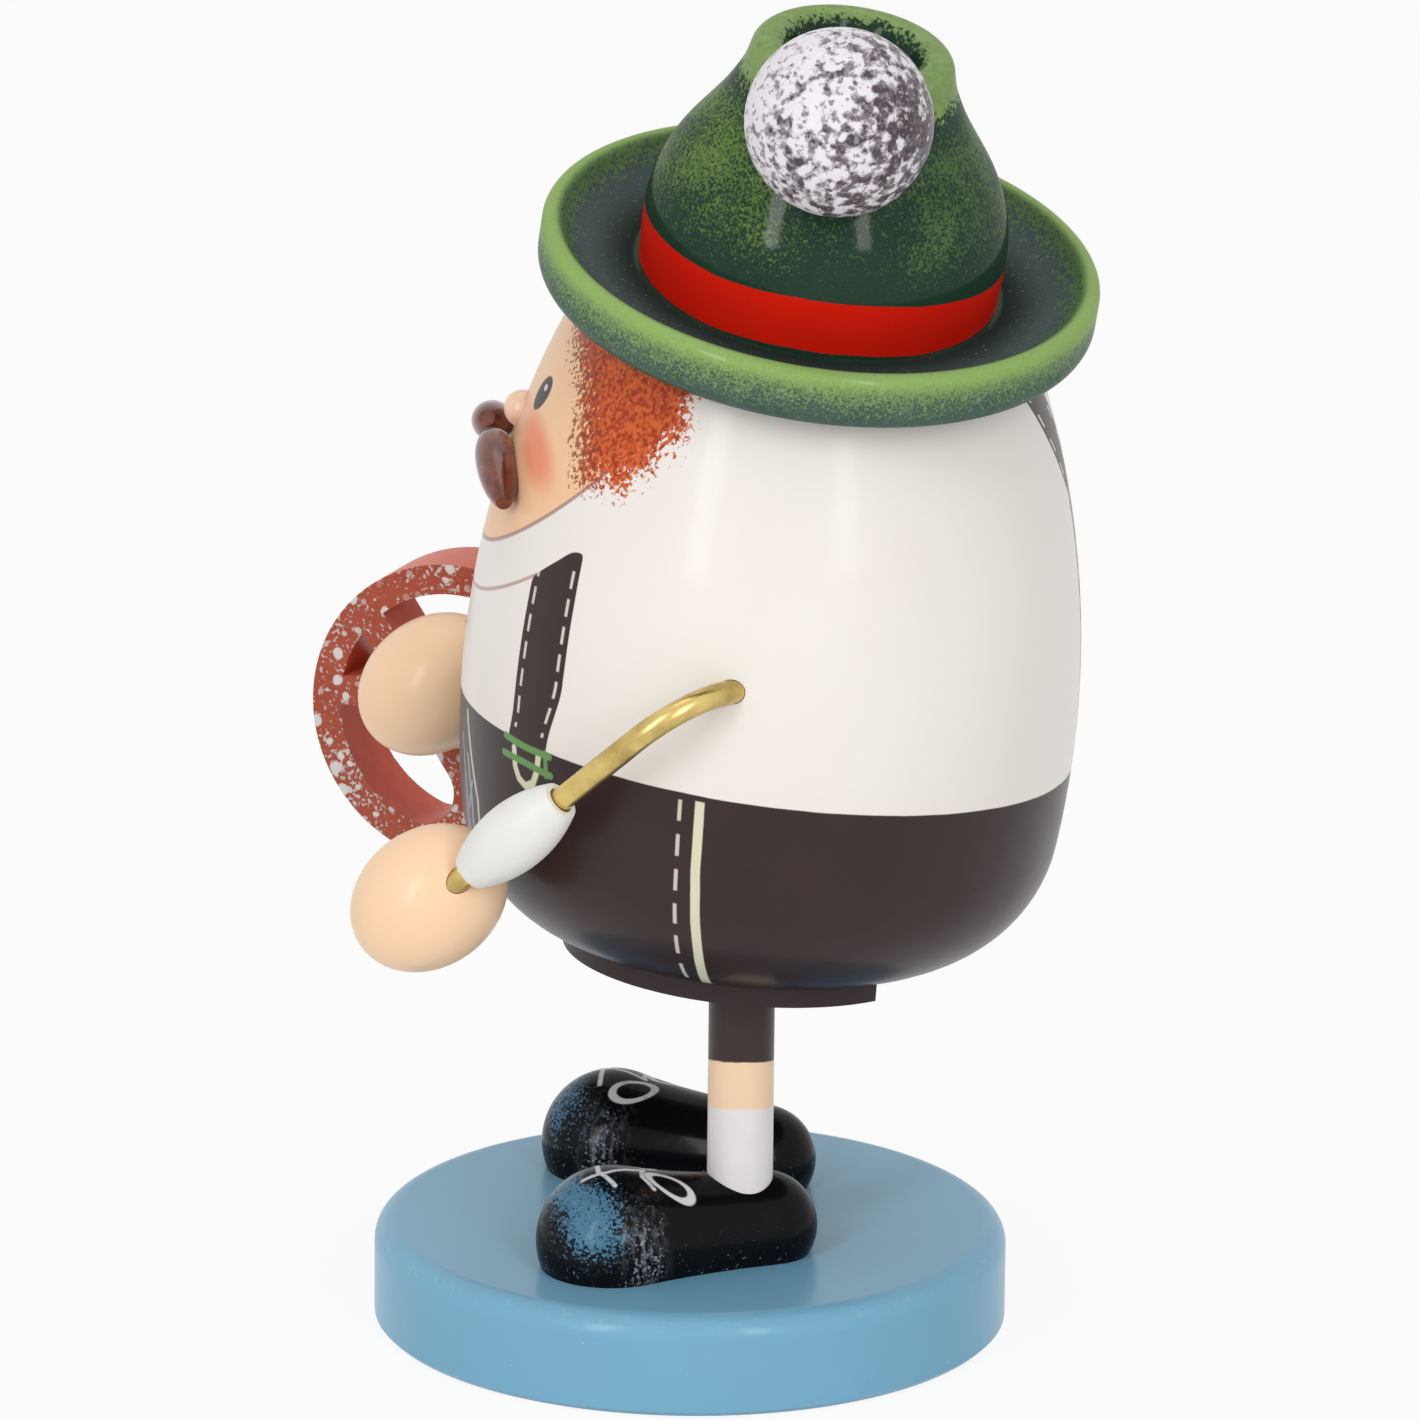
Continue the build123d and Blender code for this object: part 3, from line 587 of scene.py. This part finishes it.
def hat_paint():
    paint = Paint("hat_paint", Coat_Roughness=0.1, Specular_IOR_Level=0.0)
    height = paint.along(HAT_CENTRE, HAT_AXIS)
    side = paint.along(HAT_CENTRE, HAT_SIDE)
    depth = paint.along(HAT_CENTRE, Vector(HAT_AXIS).cross(Vector(HAT_SIDE)))
    out = paint.size(side, depth)
    cloud = paint.swing(7.0, 1.4, seed=2.0)

    dark = paint.mix(paint.noise(5.0, seed=3.0, detail=3.0), rgb(28, 50, 39), rgb(40, 68, 53))
    light = paint.mix(paint.noise(0.8, seed=13.0), rgb(106, 138, 74), rgb(156, 180, 114))
    moss = paint.mix(paint.noise(0.8, seed=14.0), rgb(80, 114, 42), rgb(134, 160, 78))
    moss = paint.mix(paint.ramp(depth, 0.0, 9.0) * 0.7, moss, rgb(82, 110, 66))

    # Crown: sponged on both flanks, dark round its foot and under the tuft, with a light lip and painted shade
    # in the hollow on top.
    flank = paint.absolute(depth) / 14.0
    belt = paint.ramp(height, 3.2, 9.0) * paint.ramp(height, 19.5, 13.5)
    amount = belt * (paint.ramp(flank, 0.1, 0.8) * 0.42 + 0.04 + cloud * 0.8) + 0.03
    crown = paint.sponge(amount, size=0.26, soft=0.32, seed=4.0)
    colour = paint.mix(crown * 0.85, dark, moss)
    lip = paint.ramp(height, 16.6, 20.4) * paint.ramp(out, 5.8, 8.2)
    lip = paint.sponge(lip * 1.02 + cloud * lip * 0.1 - 0.02, size=0.42, soft=0.16, seed=6.0)
    colour = paint.mix(lip * 0.92, colour, light)
    # Painted shade: the hollow in the crown's top is darkened.
    pit_shade = paint.ramp(out, 7.6, 4.6) * paint.ramp(height, 16.5, 17.5)
    colour = paint.mix(pit_shade * 0.7, colour, rgb(14, 26, 20))

    # Brim: dull blue-green dish with pale flecks and painted shade that darkens it towards the crown, and a
    # light sponged rim that darkens downwards, with a painted highlight along its top.
    # Painted shade: the dish is darker next to the crown and lighter towards the rim.
    dish = paint.mix(paint.ramp(out, 18.4, 24.0), rgb(38, 51, 48), rgb(82, 97, 97))
    flecks = paint.ramp(out, 18.0, 22.0) * 0.13 + paint.ramp(out, 23.0, 27.2) * 0.62
    flecks = paint.sponge(flecks, size=0.34, soft=0.12, seed=8.0)
    dish = paint.mix(flecks * 0.8, dish, rgb(104, 142, 76))
    dust = paint.ramp(paint.cells(1.3), 0.11, 0.05) * 0.55
    dish = paint.mix(dust, dish, rgb(140, 156, 148))
    low = paint.mix(paint.noise(3.0, seed=5.0, detail=3.0), rgb(50, 74, 64), rgb(80, 108, 96))
    rim = paint.ramp(height, -6.4, 0.8) * 0.86 + cloud * 0.14
    rim = paint.sponge(rim, size=0.24, soft=0.4, seed=10.0)
    edge = paint.mix(rim * 0.9, low, light)
    # Painted highlight: a smooth light green band along the rim's top.
    edge = paint.mix(paint.ramp(height, -2.2, -0.5) * 0.7, edge, rgb(150, 184, 100))
    on_rim = paint.ramp(out, RIM_OUT - 0.4, RIM_OUT + 0.4)
    brim = paint.mix(on_rim, dish, edge)
    underside = paint.ramp(height, -5.5, -6.25)
    brim = paint.mix(underside, brim, rgb(22, 42, 34))
    colour = paint.mix(paint.ramp(out, CROWN_OUT - 0.3, CROWN_OUT + 0.2), colour, brim)

    # Red band: hand-painted, narrower towards the front.
    behind = paint.most(depth, 0.0)
    before = paint.ramp(depth, -3.0, -12.0)
    level = height + paint.swing(4.0, 0.3, seed=20.0) + behind * behind * 0.005 + before * 0.4
    on_wall = paint.ramp(out, CROWN_OUT + 0.15, CROWN_OUT - 0.15) * paint.ramp(out, 16.4, 16.9)
    on_wall = on_wall * paint.ramp(height, BRIM_FLOOR, BRIM_FLOOR + 0.15)
    red = paint.mix(paint.noise(4.0, seed=22.0, detail=3.0), rgb(214, 26, 12), rgb(228, 35, 17))
    colour = paint.mix(paint.between(level, BAND_LOW, BAND_HIGH, soft=0.07) * on_wall, colour, red)

    glossy = paint.most(paint.ramp(out, CROWN_OUT + 0.2, CROWN_OUT - 0.2), on_rim)
    paint.put(glossy * 0.25 + 0.02, paint.shader.inputs["Coat Weight"])
    return paint.lacquer(colour, roughness=0.3, wave=0.05, grain=1.4)


def tuft_paint():
    """White dabs over grey-brown, thinner towards the back and below, as painted shade on that side of the
    ball.
    """
    paint = Paint("tuft_paint", Coat_Weight=0.08, Coat_Roughness=0.2, Specular_IOR_Level=0.16)
    low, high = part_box("tuft_ball")
    centre = (low + high) * 500
    # Painted light and shade: more white dabs towards the front top, fewer towards the back and below.
    painted_lighting = paint.along(centre, (0.0, -0.8, 0.5)) / TUFT_RADIUS
    amount = painted_lighting * 0.26 + 0.55 + paint.swing(5.0, 0.6, seed=9.0)
    dabs = paint.sponge(amount, size=1.15, soft=0.16, seed=2.0, detail=4.0)
    fine = paint.sponge(amount - 0.12, soft=0.12, seed=6.0)
    ground = paint.mix(paint.noise(2.0, seed=4.0, detail=3.0), rgb(60, 50, 57), rgb(98, 86, 93))
    colour = paint.mix(fine * 0.6, ground, rgb(176, 166, 174))
    colour = paint.mix(dabs * 0.94, colour, rgb(240, 235, 241))
    specks = paint.sponge(0.3 - painted_lighting * 0.06, size=0.62, soft=0.12, seed=11.0)
    colour = paint.mix(specks * 0.8, colour, rgb(116, 104, 112))
    paint.colour(colour)
    paint.rough(dabs * 0.12 + 0.34)
    paint.bump(dabs, 0.09)
    return paint.material


def moustache_stain():
    paint = Paint("moustache_stain", Coat_Weight=0.55, Coat_Roughness=0.06, Specular_IOR_Level=0.3)
    streak = paint.noise(1.0, seed=2.0, detail=3.0, stretch=(0.35, 1.0, 1.0))
    colour = paint.mix(paint.ramp(streak, 0.3, 0.7), rgb(84, 36, 24), rgb(126, 60, 36))
    return paint.lacquer(colour, roughness=0.25, wave=0.02, grain=1.4)


def cuff_paint():
    paint = Paint("cuff_paint", Coat_Weight=0.1, Coat_Roughness=0.2, Specular_IOR_Level=0.25)
    colour = paint.mix(paint.noise(5.0, seed=2.0, detail=3.0), rgb(241, 240, 236), rgb(231, 229, 224))
    return paint.lacquer(colour, roughness=0.42, wave=0.04, grain=1.6)


def wire_brass():
    paint = Paint("wire_brass", Metallic=1.0)
    tarnish = paint.ramp(paint.noise(4.0, seed=2.0, detail=4.0), 0.35, 0.7)
    drawn = paint.noise(0.35, seed=5.0, stretch=(1.0, 0.25, 0.25))
    paint.colour(paint.mix(tarnish, rgb(224, 198, 124), rgb(176, 151, 88)))
    paint.rough(tarnish * 0.14 + 0.24)
    paint.bump(drawn, 0.015)
    return paint.material


def dish_metal():
    paint = Paint("dish_metal", Metallic=1.0)
    spin = paint.noise(0.5, seed=1.0, stretch=(1.0, 1.0, 0.2))
    ash = paint.ramp(paint.noise(4.0, seed=3.0, detail=3.0), 0.42, 0.62)
    paint.colour(paint.mix(ash * 0.5, rgb(196, 193, 186), rgb(132, 122, 108)))
    paint.rough(ash * 0.25 + 0.25)
    paint.bump(spin, 0.02)
    return paint.material


def pretzel_paint():
    """Red-brown board with dabbed salt on both faces and plain cut walls."""
    paint = Paint("pretzel_paint", Coat_Weight=0.04, Coat_Roughness=0.18, Specular_IOR_Level=0.1)
    turn = math.radians(PRETZEL_TURN)
    depth = paint.along(PRETZEL_FACE, (math.cos(turn), -math.sin(turn), 0.0))
    face = paint.most(paint.ramp(depth, -0.3, -0.05),
                      paint.ramp(depth, 0.3 - PRETZEL_THICKNESS, 0.05 - PRETZEL_THICKNESS))
    crust = paint.mix(paint.noise(3.0, seed=2.0, detail=3.0), rgb(168, 74, 54), rgb(188, 96, 74))
    saw_marks = paint.noise(1.6, seed=8.0, detail=3.0, stretch=(1.0, 1.0, 0.3))
    wall = paint.mix(saw_marks, rgb(204, 86, 56), rgb(224, 112, 82))
    colour = paint.mix(face, wall, crust)
    patchy = paint.ramp(paint.noise(7.0, seed=4.0), 0.3, 0.7)
    fine = paint.sponge(patchy * 0.24 + 0.15, size=0.42, soft=0.1, seed=6.0)
    grains = paint.ramp(paint.cells(1.5) + paint.swing(0.8, 0.3, seed=9.0), 0.27, 0.2)
    coarse = paint.ramp(paint.cells(3.1) + paint.swing(1.0, 0.22, seed=13.0), 0.24, 0.19)
    salt = paint.most(fine * 0.75, grains * patchy, coarse) * face
    paint.colour(paint.mix(salt, colour, rgb(228, 222, 218)))
    paint.rough(salt * 0.15 + 0.36)
    paint.bump(salt + paint.noise(1.4, seed=5.0, detail=3.0) * 0.3, 0.08)
    return paint.material


def give(material, *names):
    for name in names:
        slots = NODES[name].data.materials
        slots.clear()
        slots.append(material)


give(base_paint(), "base_disc")
give(shoe_paint(1), "shoe_left")
give(shoe_paint(-1), "shoe_right")
give(leg_paint(), "leg_left", "leg_right")
give(trouser_paint(), "seat_plate")
give(bare_wood("bare_wood"), "hat_dowel", "tuft_dowel")
give(bare_wood("smoked_wood", smoked=0.35), "spigot")
give(dish_metal(), "cone_dish", "dish_nail")
give(body_paint(), "body_shell")
give(hat_paint(), "hat")
give(tuft_paint(), "tuft_ball")
give(nose_paint(), "nose")
give(moustache_stain(), "moustache_left", "moustache_right")
give(wire_brass(), "arm_wire_left", "arm_wire_right")
give(cuff_paint(), "cuff_left", "cuff_right")
give(skin_paint(), "hand_left", "hand_right")
give(pretzel_paint(), "pretzel")


def seen_directly(tree):
    """1 for rays that show a surface as it is: from the camera, a mirror or through glass."""
    path = tree.nodes.new("ShaderNodeLightPath")
    total = path.outputs["Is Camera Ray"]
    for label in ("Is Glossy Ray", "Is Transmission Ray"):
        either = tree.nodes.new("ShaderNodeMath")
        either.operation = "MAXIMUM"
        tree.links.new(total, either.inputs[0])
        tree.links.new(path.outputs[label], either.inputs[1])
        total = either.outputs[0]
    return total


def make_floor():
    """White paper that glows to the eye and still takes a soft shadow."""
    corners = [(x * FLOOR_HALF, y * FLOOR_HALF, 0) for x, y in ((-1, -1), (1, -1), (1, 1), (-1, 1))]
    mesh = bpy.data.meshes.new("floor")
    mesh.from_pydata(corners, [], [(0, 1, 2, 3)])
    floor = bpy.data.objects.new("floor", mesh)
    floor.location.z = -FLOOR_DROP
    bpy.context.scene.collection.objects.link(floor)
    material = bpy.data.materials.new("floor_paper")
    material.use_nodes = True
    tree = material.node_tree
    tree.nodes.clear()
    paper = tree.nodes.new("ShaderNodeBsdfDiffuse")
    paper.inputs["Color"].default_value = (FLOOR_GREY, FLOOR_GREY, FLOOR_GREY, 1)
    glow = tree.nodes.new("ShaderNodeEmission")
    glow.inputs["Strength"].default_value = 1.0
    share = tree.nodes.new("ShaderNodeMath")
    share.operation = "MULTIPLY"
    share.inputs[1].default_value = FLOOR_GLOW
    tree.links.new(seen_directly(tree), share.inputs[0])
    both = tree.nodes.new("ShaderNodeMixShader")
    tree.links.new(share.outputs[0], both.inputs[0])
    tree.links.new(paper.outputs[0], both.inputs[1])
    tree.links.new(glow.outputs[0], both.inputs[2])
    out = tree.nodes.new("ShaderNodeOutputMaterial")
    tree.links.new(both.outputs[0], out.inputs[0])
    mesh.materials.append(material)


def make_world():
    """Soft light all round, and plain white where it is seen itself."""
    world = bpy.data.worlds.new("studio")
    bpy.context.scene.world = world
    world.use_nodes = True
    tree = world.node_tree
    tree.nodes.clear()
    soft = tree.nodes.new("ShaderNodeBackground")
    soft.inputs["Color"].default_value = (1, 1, 1, 1)
    soft.inputs["Strength"].default_value = WORLD_STRENGTH
    white = tree.nodes.new("ShaderNodeBackground")
    white.inputs["Color"].default_value = (1, 1, 1, 1)
    both = tree.nodes.new("ShaderNodeMixShader")
    tree.links.new(seen_directly(tree), both.inputs[0])
    tree.links.new(soft.outputs[0], both.inputs[1])
    tree.links.new(white.outputs[0], both.inputs[2])
    out = tree.nodes.new("ShaderNodeOutputWorld")
    tree.links.new(both.outputs[0], out.inputs[0])


def make_lamp(name, place, width, height, watts):
    data = bpy.data.lights.new(name, "AREA")
    data.shape = "RECTANGLE"
    data.size = width
    data.size_y = height
    data.energy = watts
    lamp = bpy.data.objects.new(name, data)
    lamp.location = place
    lamp.rotation_euler = (Vector(LAMP_AIM) - Vector(place)).to_track_quat("-Z", "Y").to_euler()
    bpy.context.scene.collection.objects.link(lamp)


def make_camera():
    """Camera on the figure's left that looks along -X, dropped and rolled as in the photo."""
    data = bpy.data.cameras.new("camera")
    data.lens = LENS_MM
    data.sensor_width = SENSOR_MM
    data.clip_end = 20.0
    camera = bpy.data.objects.new("camera", data)
    drop, roll = math.radians(VIEW_DROP), math.radians(VIEW_ROLL)
    level = Vector((0.0, 1.0, 0.0))
    rise = Vector((-math.sin(drop), 0.0, math.cos(drop)))
    right = level * math.cos(roll) + rise * math.sin(roll)
    up = rise * math.cos(roll) - level * math.sin(roll)
    back = right.cross(up)
    camera.matrix_world = Matrix.Translation(EYE) @ Matrix((right, up, back)).transposed().to_4x4()
    bpy.context.scene.collection.objects.link(camera)
    bpy.context.scene.camera = camera


make_floor()
make_world()
for lamp in LAMPS:
    make_lamp(*lamp)
make_camera()
bpy.context.scene.view_settings.view_transform = "Standard"
